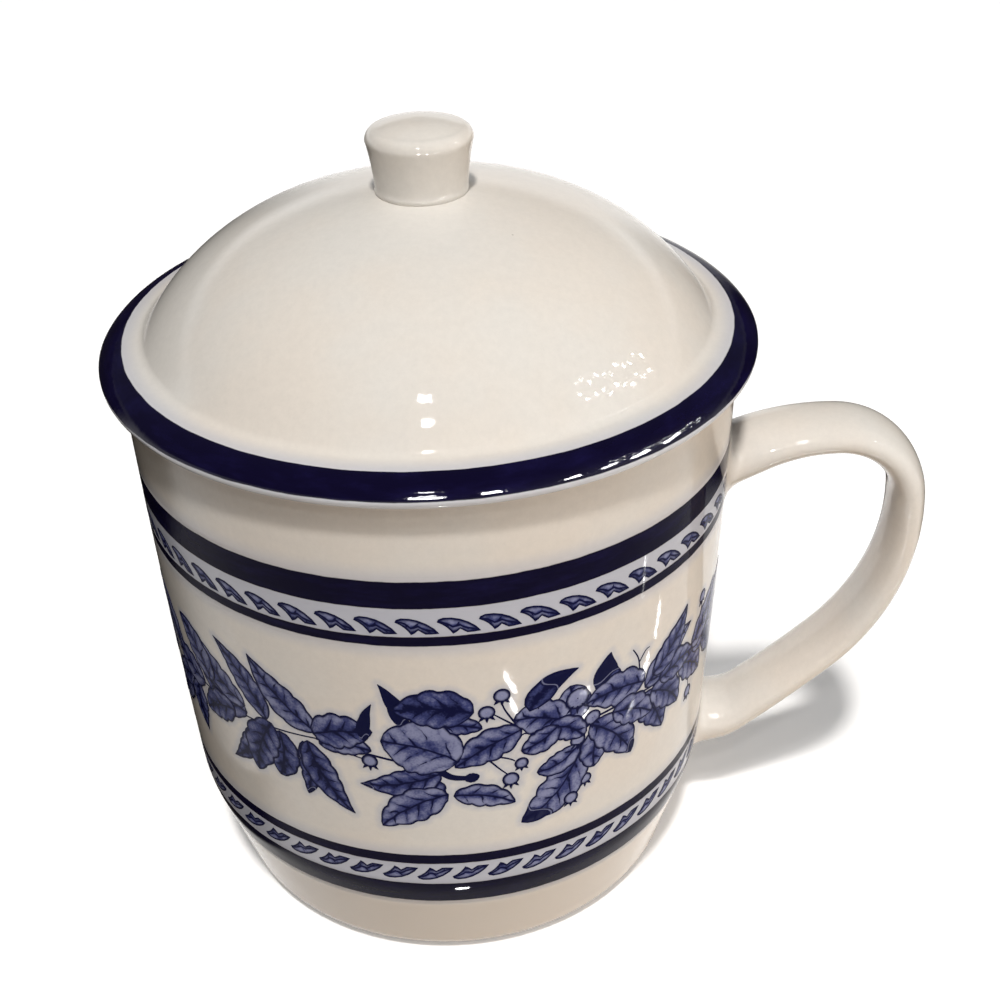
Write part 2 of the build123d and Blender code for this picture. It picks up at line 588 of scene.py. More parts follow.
def cobaltGroup():
    # cobalt colour as it lies under the glaze, thin in streaks and deep where it pooled
    tree, given, out = newGroup(
        "cobaltTone", [("Place", "Vector", None), ("Edge", "Float", 0.0)], [("Colour", "Color")]
    )
    look = cobaltLook
    x, y, z = split(tree, given["Place"])
    flat = node(tree, "ShaderNodeCombineXYZ")
    for socket, item in zip(flat.inputs, (x, y, times(tree, z, look["flatten"]))):
        feed(tree, socket, item)
    streak = ease(tree, cloud(tree, flat.outputs[0], *look["streak"]), *look["streakSpan"])
    grain = times(tree, cloud(tree, given["Place"], *look["grain"]), look["grainShare"])
    share = times(tree, streak, plus(tree, grain, 1 - look["grainShare"]), clamp=True)
    share = times(tree, share, minus(tree, 1.0, given["Edge"]))
    feed(tree, out["Colour"], mixed(tree, share, look["deep"], look["thin"]))
    return tree


kilnGlaze = glazeGroup()
cobaltBand = bandGroup()
cobaltTone = cobaltGroup()


def newMaterial(name, shine):
    material = bpy.data.materials.new(name)
    material.use_nodes = True
    shader = material.node_tree.nodes["Principled BSDF"]
    shader.inputs["Specular IOR Level"].default_value = shine
    return material, material.node_tree, shader


def startGlaze(name, shine="shine"):
    material, tree, shader = newMaterial(name, glazeLook[shine])
    coords = node(tree, "ShaderNodeTexCoord").outputs["Object"]
    place = node(tree, "ShaderNodeVectorMath", operation="SCALE")
    feed(tree, place.inputs[0], coords)
    place.inputs["Scale"].default_value = 1 / mm     # millimetres
    return material, tree, shader, place.outputs[0]


def finishGlaze(tree, shader, colour, roughness, height, ripple=1.0):
    feed(tree, shader.inputs["Base Color"], colour)
    feed(tree, shader.inputs["Roughness"], roughness)
    bump = node(tree, "ShaderNodeBump")
    bump.inputs["Distance"].default_value = glazeLook["peel"] * ripple
    feed(tree, bump.inputs["Height"], height)
    feed(tree, shader.inputs["Normal"], bump.outputs[0])


def whiteGlaze():
    material, tree, shader, place = startGlaze("whiteGlaze")
    glaze = placed(tree, kilnGlaze, Place=place)
    finishGlaze(tree, shader, glaze["Colour"], glaze["Roughness"], glaze["Height"])
    return material


# Painted circles on the wall, bottom and top edge in millimetres, and how far their blue bleeds
wallBands = {
    "upperBand": (68.05, 72.1, 3.0),
    "upperLine": (62.25, 63.75, 2.6),
    "lowerLine": (23.25, 25.0, 2.6),
    "lowerBand": (14.6, 19.15, 2.6),
}
borderStrips = (("upperLine", "upperBand"), ("lowerBand", "lowerLine"))
handWobble = 0.12        # how far a painted circle strays, millimetres
# what lies outside a cone: its slope, and the radii at z = 0 between which the mask eases in
wallCone = (0.041, 37.4, 37.6)
footShadeCone = (0.28, 32.0, 32.4)
footShadeTop = (12.0, 15.0)   # heights between which the painted shade on the foot ends
bareRing = {"heights": (0.15, 0.4), "radii": (27.9, 28.2), "dullness": 0.6}


def strayed(tree, place, clouds):
    return scaled(tree, cloud(tree, place, *glazeClouds[clouds]), handWobble * 2, -handWobble)


def beyondCone(tree, radius, z, slope, low, high):
    return ease(tree, minus(tree, radius, times(tree, z, slope)), low, high)


def mugGlaze(name, shine):
    material, tree, shader, place = startGlaze(name, shine)
    glaze = placed(tree, kilnGlaze, Place=place)
    radius, z = radiusAndHeight(tree, place)
    height = plus(tree, z, strayed(tree, place, "wallWobble"))
    ink, bleed, edge = 0.0, 0.0, 1.0
    for low, high, reach in wallBands.values():
        band = placed(tree, cobaltBand, Position=height, Low=low, High=high, Reach=reach)
        ink = larger(tree, ink, band["Ink"])
        bleed = plus(tree, bleed, band["Bleed"], clamp=True)
        edge = smaller(tree, edge, band["Edge"])
    outside = beyondCone(tree, radius, z, *wallCone)
    ink = times(tree, ink, outside)
    bleed = times(tree, bleed, glazeLook["fringe"])
    for below, above in borderStrips:
        low, high = wallBands[below][1], wallBands[above][0]
        strip = placed(tree, cobaltBand, Position=height, Low=low, High=high)
        bleed = larger(tree, bleed, times(tree, strip["Ink"], glazeLook["strip"]))
    gap = node(tree, "ShaderNodeAttribute", attribute_name="leafGap").outputs["Fac"]
    gap = scaled(tree, cloud(tree, place, *glazeClouds["haloEdge"]), glazeLook["haloShake"], gap)
    halo = ease(tree, gap, *glazeLook["haloReach"], glazeLook["halo"], 0.0)
    bleed = times(tree, larger(tree, bleed, halo), outside)
    # painted shade: the foot's glaze turns darker and warmer, standing in for the table's shade and
    # warm bounce
    footShadeMask = beyondCone(tree, radius, z, *footShadeCone)
    footShadeMask = times(tree, footShadeMask, ease(tree, z, *footShadeTop, glazeLook["footShadeShare"], 0.0))
    colour = mixed(tree, footShadeMask, glaze["Colour"], glazeLook["foot"])
    colour = mixed(tree, bleed, colour, glazeLook["bleed"])
    colour = mixed(tree, ink, colour, placed(tree, cobaltTone, Place=place, Edge=edge)["Colour"])
    low = ease(tree, z, *bareRing["heights"], 1.0, 0.0)
    bare = times(tree, low, ease(tree, radius, *bareRing["radii"]))
    colour = mixed(tree, bare, colour, glazeLook["biscuit"])
    roughness = scaled(tree, bare, bareRing["dullness"], glaze["Roughness"])
    finishGlaze(tree, shader, colour, roughness, glaze["Height"])
    return material


# The lid's blue rim, radii and heights in millimetres
lidRim = {
    "inner": 41.15,
    "outer": 60.0,           # anywhere past the edge
    "low": 85.05,
    "softEdge": 0.08,
    "reach": 2.6,            # how far its blue bleeds
    "seat": (83.7, 83.9),    # heights between which the unseen underside ends
    "lipTop": (85.1, 85.8),  # heights between which the pale lip ends
}


def lidGlaze(name, shine, ripple=1.0):
    material, tree, shader, place = startGlaze(name, shine)
    glaze = placed(tree, kilnGlaze, Place=place)
    radius, z = radiusAndHeight(tree, place)
    wobble = strayed(tree, place, "lidWobble")
    ring = placed(
        tree, cobaltBand, Position=plus(tree, radius, wobble),
        Low=lidRim["inner"], High=lidRim["outer"], Reach=lidRim["reach"],
    )
    low, soft = lidRim["low"], lidRim["softEdge"]
    above = ease(tree, plus(tree, z, wobble), low - soft, low + soft)
    topSide = times(tree, ease(tree, z, *lidRim["seat"]), ring["Ink"])
    bleed = times(tree, ring["Bleed"], glazeLook["fringe"])
    colour = mixed(tree, bleed, glaze["Colour"], glazeLook["bleed"])
    colour = mixed(tree, ease(tree, z, *lidRim["lipTop"], topSide, 0.0), colour, glazeLook["lip"])
    ink = times(tree, ring["Ink"], above)
    colour = mixed(tree, ink, colour, placed(tree, cobaltTone, Place=place)["Colour"])
    finishGlaze(tree, shader, colour, glaze["Roughness"], glaze["Height"], ripple)
    return material


leafLook = {
    "pale": (0.265, 0.285, 0.455, 1),
    "wash": (0.047, 0.057, 0.185, 1),
    "ink": (0.0032, 0.0042, 0.040, 1),
    "outline": 0.33,         # width of the line round a leaf of the garland, millimetres
    "outlineSpan": (0.5, 1.7),   # the line fades between these shares of its width
    "edgeShake": 0.22,
    "ribShake": 0.5,
    "rib": (0.07, 0.24),
    "wander": 1.3,           # how far the veins stray, millimetres
    "slip": 0.45,            # veins of one side start this much of a step later
    "slant": 0.8,            # and run forwards this much
    "veinStretch": 0.78,
    "veinWidth": (0.30, 0.05),   # by the midrib and near the edge
    "veinCore": 0.3,
    "veinEnd": (0.5, 0.85),
    "veinGaps": (0.34, 0.48),
    "patchDepth": (1.9, -0.95),
    "grainDepth": (0.8, -0.4),
    "swell": (0.7, 0.18, -0.16),     # reach from a vein, and the change of depth on it and between
    "midDepth": (0.6, 0.55, -0.12),  # the same from the midrib out, as a share of the half width
    "washSpan": (0.0, 1.0),  # depths between which pale turns to wash, and wash to ink
    "inkSpan": (0.85, 1.6),
    "foldEdge": 0.08,
    "foldShake": 0.3,
    "foldDepth": 0.93,
    "crease": (0.3, 0.04, 0.14, 0.6),    # pale line on a fold: place, core, width and strength
    "smallest": 0.01,        # keeps divisors above zero
}
leafClouds = {
    "shake": (1.3, 2),
    "stray": (0.5, 1),
    "gaps": (0.7, 1),
    "patch": (0.36, 3, 0.6),
    "grain": (3.2, 2),
}


def leafGroup():
    # a leaf drawn in line and wash, from where a point is on its leaf, in millimetres
    tree, given, out = newGroup(
        "leafDrawing",
        [
            ("Place", "Vector", None), ("Leaf", "Vector", None), ("Tone", "Vector", None),
            ("Outline", "Float", 0.2),
        ],
        [("Colour", "Color")],
    )
    look = leafLook
    along, across, gap = split(tree, given["Leaf"])
    tone, fold, pitch = split(tree, given["Tone"])
    clouds = {name: cloud(tree, given["Place"], *cloudy) for name, cloudy in leafClouds.items()}
    shake = minus(tree, clouds["shake"], 0.5)
    stray = minus(tree, clouds["stray"], 0.5)
    edge = scaled(tree, shake, look["edgeShake"], gap)
    thin, thick = [times(tree, given["Outline"], share) for share in look["outlineSpan"]]
    outline = ease(tree, edge, thin, thick, 1.0, 0.0)
    side = calc(tree, "ABSOLUTE", scaled(tree, stray, look["ribShake"], across))
    veined = calc(tree, "GREATER_THAN", pitch, look["smallest"])
    step = larger(tree, pitch, look["smallest"])
    share = calc(tree, "DIVIDE", side, plus(tree, plus(tree, side, gap), look["smallest"]))
    rib = times(tree, ease(tree, side, *look["rib"], 1.0, 0.0), veined)
    # side veins leave the midrib forwards, in turn on either side, and fade out before the edge
    slip = times(tree, calc(tree, "LESS_THAN", across, 0.0), times(tree, step, look["slip"]))
    run = scaled(tree, stray, look["wander"], plus(tree, along, slip))
    run = minus(tree, run, times(tree, side, look["slant"]))
    beat = calc(tree, "FRACT", calc(tree, "DIVIDE", run, step))
    near = smaller(tree, beat, minus(tree, 1.0, beat))
    away = times(tree, near, times(tree, step, look["veinStretch"]))
    width = ease(tree, share, 0.0, look["veinEnd"][1], *look["veinWidth"])
    vein = ease(tree, away, times(tree, width, look["veinCore"]), width, 1.0, 0.0)
    vein = times(tree, vein, ease(tree, share, *look["veinEnd"], 1.0, 0.0))
    vein = times(tree, vein, ease(tree, clouds["gaps"], *look["veinGaps"]))
    vein = times(tree, vein, veined)
    lines = larger(tree, outline, larger(tree, rib, vein))
    # wash: patchy, deeper by the midrib and the veins, and pale where the leaf swells between them
    patch = scaled(tree, clouds["patch"], *look["patchDepth"])
    grain = scaled(tree, clouds["grain"], *look["grainDepth"])
    swell = times(tree, ease(tree, away, 0.0, *look["swell"]), veined)
    depth = plus(tree, plus(tree, tone, patch), plus(tree, grain, swell))
    depth = plus(tree, depth, ease(tree, share, 0.0, *look["midDepth"]))
    colour = mixed(tree, ease(tree, depth, *look["washSpan"]), look["pale"], look["wash"])
    colour = mixed(tree, ease(tree, depth, *look["inkSpan"]), colour, look["ink"])
    colour = mixed(tree, lines, colour, look["ink"])
    turned = scaled(tree, shake, look["foldShake"], fold)
    folded = ease(tree, turned, -look["foldEdge"], look["foldEdge"], 0.0, look["foldDepth"])
    colour = mixed(tree, folded, colour, look["ink"])
    middle, core, width, strength = look["crease"]
    fromCrease = calc(tree, "ABSOLUTE", minus(tree, fold, middle))
    crease = ease(tree, fromCrease, core, width, strength, 0.0)
    feed(tree, out["Colour"], mixed(tree, crease, colour, look["pale"]))
    return tree


leafDrawing = leafGroup()


def leafMaterial(name, outline):
    material, tree, shader, place = startGlaze(name, "inkShine")
    glaze = placed(tree, kilnGlaze, Place=place)
    leaf = node(tree, "ShaderNodeAttribute", attribute_name="leafPlace").outputs["Vector"]
    tone = node(tree, "ShaderNodeAttribute", attribute_name="leafTone").outputs["Vector"]
    drawn = placed(tree, leafDrawing, Place=place, Leaf=leaf, Tone=tone, Outline=outline)
    finishGlaze(tree, shader, drawn["Colour"], glaze["Roughness"], glaze["Height"])
    return material


# Leaves, berries and stems lie on the wall as thin skins of colour
colourSkin = {
    "wallReach": 40.9,       # millimetres along the wall to one radian
    "lift": 0.012,
    "layerStep": 0.005,
    "layers": 13,
    "depth": 0.06,           # how far each skin reaches into the wall
}


def onWall(x, z, lift):
    turn = x / colourSkin["wallReach"]
    radius = wallRadius(z) + lift
    return Vector((radius * math.sin(turn), -radius * math.cos(turn), z)) * mm


def startSkins():
    bm = bmesh.new()
    layers = bm.verts.layers.float_vector
    return bm, layers.new("leafPlace"), layers.new("leafTone")


def addSkin(skins, rows, layer, closed=False):
    # rows of (x, z, leafPlace, leafTone), closed into a thin shell over the wall
    bm, placeLayer, toneLayer = skins
    lift = colourSkin["lift"] + colourSkin["layerStep"] * (layer % colourSkin["layers"])
    top = []
    under = []
    for row in rows:
        topRow = []
        underRow = []
        for x, z, place, tone in row:
            for line, height in ((topRow, lift), (underRow, -colourSkin["depth"])):
                vert = bm.verts.new(onWall(x, z, height))
                vert[placeLayer] = place
                vert[toneLayer] = tone
                line.append(vert)
        top.append(topRow)
        under.append(underRow)
    columns = len(rows[0])
    spans = range(columns if closed else columns - 1)
    for a, b, c, d in zip(top, top[1:], under, under[1:]):
        for k in spans:
            n = (k + 1) % columns
            bm.faces.new([a[k], b[k], b[n], a[n]])
            bm.faces.new([c[k], c[n], d[n], d[k]])
    edges = [(top[0], under[0]), (top[-1][::-1], under[-1][::-1])]
    if not closed:
        edges.append(([r[-1] for r in top], [r[-1] for r in under]))
        edges.append(([r[0] for r in top][::-1], [r[0] for r in under][::-1]))
    for upper, lower in edges:
        for k in range(len(upper) if closed else len(upper) - 1):
            n = (k + 1) % len(upper)
            bm.faces.new([upper[k], upper[n], lower[n], lower[k]])
            bm.edges.get((upper[k], upper[n])).smooth = False


leafKinds = {
    # place of the widest part, fullness, lobes on a side, depth of lobes, millimetres between veins
    "lance": (0.38, 0.86, 5, 0.12, 2.1),
    "broad": (0.43, 0.62, 4, 0.17, 2.2),
    "round": (0.48, 0.50, 4, 0.13, 2.4),
    "curl": (0.36, 0.80, 2, 0.14, 0.0),
}
leafForm = {
    "columns": 8,
    "leastRows": 12,
    "lobeRows": 6,
    "tipStart": 0.7,         # from this share of its length on a leaf is drawn out
    "tipDraw": 0.4,
    "lobeSpread": 1.12,      # the lobes grow wider apart towards the tip
    "lobeStart": (0.15, 0.6),    # the lobes of the two sides stand in turn
    "lobeShift": 0.37,       # and differ from leaf to leaf with the half width
    "lobeRound": 0.7,
    "leastReach": 0.05,      # millimetres
    "endSlope": 0.8,
    "foldWave": (0.06, 2.6),
}
noFold = -5.0                # millimetres past any fold
stemTone = 1.2
stemTaper = 0.45
berryForm = {
    "rings": (0.06, 0.45, 0.75, 1.0),
    "points": 16,
    "tone": 0.05,
    "shade": (0.5, 0.6),     # how much deeper the shaded side is, and its turn in radians
    "ribGap": 0.8,
    "leans": (-0.5, 0.0, 0.5),   # the little crown's leaves, radians from straight down
    "crown": (0.7, 1.5),     # where they start and end, in radii of the berry
    "crownSplay": 1.3,
    "crownHalf": 0.22,
    "crownTone": 1.7,
}


def drawLeaf(skins, layer, base, tip, half, kind, bend=0.0, tone=0.5, fold=0.0):
    widest, fullness, lobes, depth, pitch = leafKinds[kind]
    f = leafForm
    start, end = Vector(base), Vector(tip)
    length = (end - start).length
    ahead = (end - start).normalized()
    left = Vector((-ahead.y, ahead.x))
    control = (start + end) / 2 + left * bend * length * 2
    power = math.log(0.5) / math.log(widest)
    steps = max(f["leastRows"], lobes * f["lobeRows"])
    rows = []
    for i in range(steps + 1):
        u = i / steps
        centre = bent(start, control, end, u)
        way = ((control - start) * (1 - u) + (end - control) * u).normalized()
        over = Vector((-way.y, way.x))
        swell = half * math.sin(math.pi * min(1, u ** power)) ** fullness if 0 < u < 1 else 0.0
        swell *= 1 - f["tipDraw"] * max(0, u - f["tipStart"])
        row = []
        for k in range(f["columns"] + 1):
            v = 2 * k / f["columns"] - 1
            stand = lobes * u ** f["lobeSpread"] + f["lobeStart"][v >= 0] + half * f["lobeShift"]
            notch = 1 - abs(math.sin(math.pi * stand)) ** f["lobeRound"]
            reach = max(f["leastReach"], swell * (1 - depth * notch))
            p = centre + over * reach * v
            gap = min(reach * (1 - abs(v)), min(u, 1 - u) * length * f["endSlope"])
            wave = f["foldWave"][0] * math.sin(f["foldWave"][1] * v)
            crease = (u - 1 + fold + wave) * length if fold else noFold
            row.append((p.x, p.y, (u * length, v * reach, gap), (tone, crease, pitch)))
        rows.append(row)
    addSkin(skins, rows, layer)


def drawStem(skins, layer, points, half, steps=8):
    rows = []
    for i in range(len(points) - 1):
        a, b = Vector(points[i]), Vector(points[i + 1])
        before = Vector(points[max(i - 1, 0)])
        after = Vector(points[min(i + 2, len(points) - 1)])
        for k in range(steps + (i == len(points) - 2)):
            t = k / steps
            # smooth curve through the points
            p = 0.5 * (2 * a + (b - before) * t + (2 * before - 5 * a + 4 * b - after) * t * t
                       + (3 * a - before - 3 * b + after) * t ** 3)
            rows.append(p)
    drawn = []
    for i, p in enumerate(rows):
        way = (rows[min(i + 1, len(rows) - 1)] - rows[max(i - 1, 0)]).normalized()
        over = Vector((-way.y, way.x))
        wide = half * (1 - stemTaper * i / (len(rows) - 1))
        row = []
        for v in (-1, 0, 1):
            q = p + over * wide * v
            row.append((q.x, q.y, (0, v * wide, 0.0), (stemTone, noFold, 0.0)))
        drawn.append(row)
    addSkin(skins, drawn, layer)


def drawBerry(skins, layer, centre, radius):
    f = berryForm
    deeper, turn = f["shade"]
    rows = []
    for ring in f["rings"]:
        row = []
        for k in range(f["points"]):
            a = -2 * math.pi * k / f["points"]
            x = centre[0] + radius * ring * math.cos(a)
            z = centre[1] + radius * ring * math.sin(a)
            shade = f["tone"] + deeper * ring * max(0, -math.sin(a - turn))
            row.append((x, z, (0, f["ribGap"], radius * (1 - ring)), (shade, noFold, 0.0)))
        rows.append(row)
    addSkin(skins, rows, layer, closed=True)
    near, far = f["crown"]
    for lean in f["leans"]:
        splayed = lean * f["crownSplay"]
        root = Vector(centre) + Vector((math.sin(lean), -math.cos(lean))) * radius * near
        end = Vector(centre) + Vector((math.sin(splayed), -math.cos(splayed))) * radius * far
        drawLeaf(skins, layer + 2, root, end, f["crownHalf"], "curl", 0.0, f["crownTone"])


# The garland, in millimetres along the wall from the front and up from the foot
garlandStems = [
    ([(-64.2, 44.4), (-56, 44), (-47, 44.8), (-36, 44), (-26, 43.6), (-15, 44.6)], 0.22),
    ([(-15, 44.6), (-8, 43.6), (0, 42.2), (7, 43.2), (13, 46)], 0.22),
    ([(13, 46), (20, 44.8), (28, 45), (37, 44.4), (47, 43.6), (57, 44.2), (64.3, 44.4)], 0.22),
    ([(-12, 44.2), (-9.8, 43), (-8.4, 42.6)], 0.16),
    ([(12, 47.5), (10.4, 50.6), (10, 52)], 0.16),
    ([(12, 47.4), (9.8, 49.4), (8.9, 50.2)], 0.16),
    ([(7.6, 43), (9.4, 40.6), (10.6, 39.2)], 0.16),
    ([(8.6, 43), (10.8, 42), (11.6, 41.4)], 0.16),
    ([(19.4, 38.5), (19.4, 35.4), (19.7, 32.8)], 0.16),
    ([(19.6, 38.5), (21.4, 36.8), (21.9, 35.2)], 0.16),
    ([(0.6, 42.4), (2.9, 40.0), (5.8, 39.5)], 0.66),
    ([(30.8, 47), (30.4, 51), (29.2, 53.4)], 0.16),
    ([(30.5, 50.6), (31.6, 52), (32.4, 52.2)], 0.14),
    ([(-43, 45), (-46.4, 47.4), (-47.8, 48.6)], 0.16),
    ([(-33, 45), (-34.8, 47), (-36, 48.6)], 0.16),
    ([(45, 44), (46.4, 48.6), (46.4, 51)], 0.16),
    ([(43, 43.8), (43.6, 40), (44, 37.6)], 0.16),
    ([(19, 45), (21.2, 42), (20.4, 39)], 0.2),
]
garlandLeaves = [
    # base, tip, half width, kind, bend, tone, share of the tip that is folded
    ((-57, 44), (-65.4, 48.6), 2.7, "broad", 0.08, 0.6, 0.0),
    ((-56, 43.6), (-63.8, 37.6), 2.6, "lance", -0.08, 0.75, 0.0),
    ((-51, 44.6), (-58.4, 51.6), 2.9, "broad", 0.08, 0.5, 0.0),
    ((-50, 44), (-57, 36), 2.8, "lance", -0.08, 0.6, 0.2),
    ((-47, 44.4), (-55.6, 44.8), 2.7, "broad", 0.06, 0.7, 0.0),
    ((-43, 45.6), (-51.5, 54), 3.0, "broad", -0.1, 0.5, 0.0),
    ((-43, 43), (-50, 33.6), 2.8, "lance", 0.1, 0.75, 0.0),
    ((-40, 43.6), (-47.4, 40), 2.5, "round", 0.08, 0.7, 0.0),
    ((-38.5, 42.6), (-38.8, 33.4), 2.5, "lance", -0.1, 0.85, 0.0),
    ((-36, 44.4), (-44.6, 47.2), 3.0, "broad", 0.08, 0.6, 0.0),
    ((-34, 45.6), (-40.4, 54), 2.9, "broad", -0.1, 0.6, 0.0),
    ((-29, 43.4), (-36.6, 39.4), 2.8, "broad", -0.08, 0.85, 0.0),
    ((-25.4, 42.4), (-31.6, 33.6), 1.9, "lance", 0.1, 0.95, 0.0),
    ((-26.4, 44.4), (-36.2, 46.6), 2.9, "broad", 0.06, 0.75, 0.0),
    ((-26.6, 45.4), (-35.6, 52.8), 2.7, "broad", 0.1, 0.7, 0.0),
    ((-22.8, 44.8), (-31.0, 55.4), 2.4, "lance", -0.08, 0.75, 0.0),
    ((-20.8, 43.8), (-22.0, 35.2), 2.7, "round", 0.08, 0.95, 0.0),
    ((-22.0, 44.6), (-26.2, 34.0), 3.2, "broad", -0.06, 0.95, 0.0),
    ((-14.8, 45.8), (-24.4, 55.6), 2.9, "lance", 0.06, 0.65, 0.0),
    ((-17.2, 43.4), (-17.5, 33.6), 1.8, "broad", 0.08, 0.85, 0.14),
    ((-16.4, 43.8), (-10.6, 32), 2.6, "lance", -0.08, 0.85, 0.0),
    ((-14.6, 43.8), (-7.2, 44.2), 2.0, "round", 0.1, 0.7, 0.0),
    ((-15.4, 45.4), (-6.8, 47.6), 3.2, "broad", 0.05, 0.75, 0.0),
    ((-8.0, 45.8), (-6.6, 52.4), 0.95, "curl", 0.08, 1.5, 0.9),
    ((6.4, 51.0), (-4.0, 51.7), 3.4, "broad", -0.06, 1.05, 0.0),
    ((-2.6, 48.6), (-5.5, 55.9), 1.3, "curl", -0.06, 1.5, 0.9),
    ((4.8, 48.4), (-4.8, 48.2), 2.0, "lance", 0.05, 1.35, 0.0),
    ((1.2, 48.6), (7.4, 48.0), 1.7, "round", 0.1, 0.8, 0.0),
    ((1.4, 39.4), (-3.2, 34.4), 2.3, "broad", 0.1, 1.0, 0.0),
    ((1.8, 40.6), (-9.3, 38), 2.6, "lance", 0.06, 0.85, 0.12),
    ((2.6, 36.8), (-6.8, 30.4), 3.1, "broad", -0.08, 0.55, 0.0),
    ((3.2, 36.4), (11.6, 33.8), 2.2, "broad", 0.1, 0.5, 0.0),
    ((4.8, 39.3), (6.8, 39.8), 0.85, "round", 0.0, 1.9, 0.0),
    ((12.6, 46.8), (3.6, 41.6), 2.9, "broad", -0.05, 0.65, 0.0),
    ((4.2, 42.6), (-5.9, 46.2), 4.9, "round", -0.08, 0.5, 0.0),
    ((13.6, 49.6), (20.4, 54.6), 1.9, "curl", 0.15, 1.3, 0.5),
    ((16.2, 46), (21.6, 42.4), 2.2, "round", 0.1, 0.7, 0.0),
    ((17.6, 46), (12.4, 43), 2.2, "round", 0.1, 0.55, 0.0),
    ((18.6, 45.2), (19.2, 52), 3.0, "round", -0.1, 0.6, 0.0),
    ((19, 45.8), (11.4, 48.6), 3.2, "round", -0.1, 0.5, 0.0),
    ((21, 39.8), (12.4, 29.6), 3.5, "broad", 0.1, 0.55, 0.24),
    ((20.8, 41.2), (14.6, 38.4), 2.1, "round", 0.12, 0.5, 0.0),
    ((25.8, 48.4), (25.4, 55.0), 2.3, "curl", 0.12, 1.4, 0.62),
    ((31.8, 46.6), (21.6, 47.8), 3.2, "broad", -0.08, 0.5, 0.0),
    ((24.4, 42.6), (23.4, 35.8), 2.5, "round", -0.1, 0.55, 0.0),
    ((22.4, 43.8), (30, 34.8), 3.1, "broad", 0.08, 0.55, 0.14),
    ((30, 43.8), (36.6, 35.4), 2.8, "broad", 0.1, 0.7, 0.0),
    ((26, 44.2), (33.8, 40), 2.8, "broad", 0.08, 0.6, 0.0),
    ((33.2, 43.8), (40.4, 37.4), 3.0, "broad", 0.1, 0.65, 0.0),
    ((35, 44.8), (44, 44.6), 2.6, "broad", 0.06, 0.7, 0.0),
    ((33.4, 46.6), (41, 54.2), 2.6, "lance", -0.08, 0.65, 0.0),
    ((32, 45.2), (42.8, 50.2), 2.9, "lance", 0.06, 0.6, 0.0),
    ((40, 44), (48, 38.2), 3.0, "broad", 0.08, 0.65, 0.0),
    ((44, 44), (53.4, 44.4), 2.6, "lance", 0.06, 0.7, 0.0),
    ((43.6, 45), (52.4, 51.6), 3.0, "broad", -0.08, 0.55, 0.0),
    ((48, 43.6), (56, 36.6), 2.9, "lance", 0.1, 0.65, 0.0),
    ((52, 44.2), (61.4, 42.4), 2.6, "broad", -0.06, 0.7, 0.0),
    ((50.6, 45), (59, 50.4), 2.8, "broad", 0.06, 0.6, 0.0),
]
garlandBerries = [
    # middle and radius
    ((-7.6, 42.4), 1.15), ((10, 53.2), 1.15), ((8, 50.7), 1.15), ((11, 38.3), 1.2),
    ((12.5, 40.8), 1.0), ((19.8, 31.6), 1.15), ((22.0, 34.2), 1.05), ((20.6, 42), 1.2),
    ((20.4, 49.4), 1.8), ((-48.4, 49.4), 1.1), ((46.4, 52), 1.1), ((44, 36.6), 1.1),
    ((22.8, 45), 1.3), ((-36.6, 49.4), 1.0), ((-33.4, 48.2), 0.9),
]
garlandCopies = 2


def makeGarland():
    skins = startSkins()
    layer = 0
    for points, half in garlandStems:
        drawStem(skins, 0, points, half)
    for leaf in garlandLeaves:
        layer += 1
        drawLeaf(skins, layer, *leaf)
    for centre, radius in garlandBerries:
        layer += 1
        drawBerry(skins, layer, centre, radius)
    return newSurface("leafGarland", skins[0])


# One border leaf, drawn left to right: upper edge and lower edge, millimetres
borderLeaf = {
    "upper": [
        (0, 1.9), (0.2, 2.32), (0.8, 2.56), (1.8, 2.52), (2.8, 2.24), (3.8, 1.7), (4.7, 0.95),
        (5.3, 0.12),
    ],
    "lower": [
        (0, 1.9), (0.6, 1.55), (1.15, 1.08), (1.6, 0.5), (1.9, 0.0), (2.35, 0.25), (2.8, 0.7),
        (3.2, 0.38), (3.65, 0.05), (4.4, 0.06), (5.3, 0.12),
    ],
    "levels": (0.0, 0.2, 0.5, 0.8, 1.0),
    "copies": 51,
    "upperFoot": 64.1,       # height of the motif's lowest point in the upper border
    "lowerFoot": 22.55,      # and of its highest point in the lower border, where it hangs upside down
    "tone": 0.55,
    "ribHeight": 0.1,        # how far the midrib runs below the middle
    "veinPitch": 2.4,
    "outline": 0.33,
    "endTrim": 0.02,         # millimetres cut off its points
    "leastHeight": 0.06,
}


def edgeHeight(points, x):
    for (x0, y0), (x1, y1) in zip(points, points[1:]):
        if x <= x1 + tiny:
            return y0 + (y1 - y0) * (x - x0) / (x1 - x0)
    return points[-1][1]


def edgeGap(point, edges):
    # distance from a point to the nearest of the given chains of straight edges
    gaps = []
    for chain in edges:
        for a, b in zip(chain, chain[1:]):
            way = Vector(b) - Vector(a)
            t = max(0, min(1, (point - Vector(a)).dot(way) / way.length_squared))
            gaps.append((Vector(a) + way * t - point).length)
    return min(gaps)


def makeBorderLeaf(name, foot, flip):
    s = borderLeaf
    skins = startSkins()
    length = s["upper"][-1][0]
    ends = {s["endTrim"], length - s["endTrim"]}
    columns = sorted({x for x, y in s["upper"] + s["lower"] if 0 < x < length} | ends)
    rows = []
    for x in columns:
        high, low = edgeHeight(s["upper"], x), edgeHeight(s["lower"], x)
        high = max(high, low + s["leastHeight"])
        row = []
        for level in s["levels"]:
            y = high + (low - high) * level
            gap = edgeGap(Vector((x, y)), (s["upper"], s["lower"])) if 0 < level < 1 else 0.0
            rib = y - (high + low) / 2 + s["ribHeight"]
            tone = (s["tone"], noFold, s["veinPitch"])
            row.append((x - length / 2, foot + y * flip, (x, rib, gap), tone))
        rows.append(row)
    addSkin(skins, rows, 1)
    return newSurface(name, skins[0])


